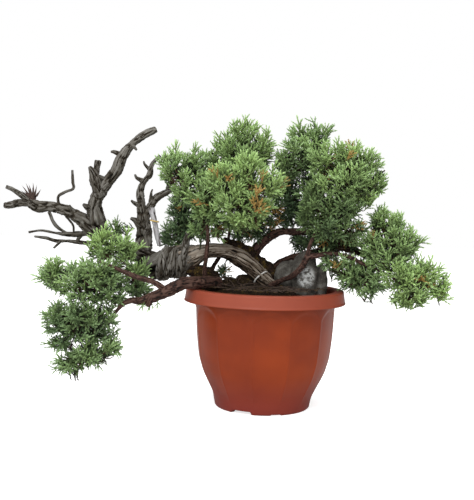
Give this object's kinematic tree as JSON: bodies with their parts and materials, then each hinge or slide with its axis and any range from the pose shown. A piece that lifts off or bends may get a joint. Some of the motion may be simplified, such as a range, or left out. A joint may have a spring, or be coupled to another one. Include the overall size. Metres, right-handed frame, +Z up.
{
  "type": "potted bonsai tree",
  "caption": "Leaning juniper bonsai with cascading foliage and bare dead limbs, in a round fluted plastic pot with stones.",
  "frame": {"origin": "middle of the pot's foot, on the surface it stands on", "axes": "+Z up, -Y towards the front of the tree, +X along its longest spread to the right"},
  "size_m": [0.6951, 0.25, 0.4458],
  "materials": {
    "terracotta_plastic": "moulded, slightly satin",
    "dead_wood": "weathered, grooved along the grain",
    "live_bark": "fibrous, matte",
    "bleached_bark": "weathered, matte",
    "grey_stone": "rough, matte",
    "pale_stone": "smooth, matte",
    "soil": "crumbly, matte",
    "moss": "soft, matte",
    "white_tie": "smooth",
    "raffia": "fibrous",
    "foliage": "needles, semi-matte"
  },
  "bodies": {
    "root": {"pot": "terracotta_plastic", "trunk": "dead_wood", "root_crown": "live_bark", "dead_limb_tall": "dead_wood", "dead_limb_left": "dead_wood", "dead_limb_right": "dead_wood", "dead_switch": "dead_wood", "dead_shoot_fan": "dead_wood", "dead_twigs_low": "dead_wood", "bark_strip": "bleached_bark", "branch_left": "live_bark", "branch_left_side": "live_bark", "stem_front": "live_bark", "stem_back": "live_bark", "branch_upper": "live_bark", "branch_back": "live_bark", "branch_front": "live_bark", "branch_riser": "live_bark", "rock_centre": "grey_stone", "rock_left": "grey_stone", "rock_slim": "grey_stone", "soil": "soil", "moss_mound": "moss", "pebble": "pale_stone", "trunk_tie": "white_tie", "raffia_tie": "raffia", "foliage_left_top": "foliage", "foliage_left_outer": "foliage", "foliage_left_middle": "foliage", "foliage_left_inner": "foliage", "foliage_left_low": "foliage", "foliage_left_tail": "foliage", "foliage_crown_left": "foliage", "foliage_crown_top": "foliage", "foliage_crown_front": "foliage", "foliage_crown_low": "foliage", "foliage_centre_back": "foliage", "foliage_crown_back": "foliage", "foliage_right_back": "foliage", "foliage_right_top_left": "foliage", "foliage_right_top": "foliage", "foliage_right_crown": "foliage", "foliage_right_middle": "foliage", "foliage_right_under": "foliage", "foliage_right_spray": "foliage", "foliage_right_inner": "foliage", "foliage_right_low": "foliage", "foliage_right_front": "foliage", "foliage_right_tip": "foliage", "foliage_arch_sprig": "foliage", "foliage_left_sprig": "foliage"}
  },
  "joints": []
}
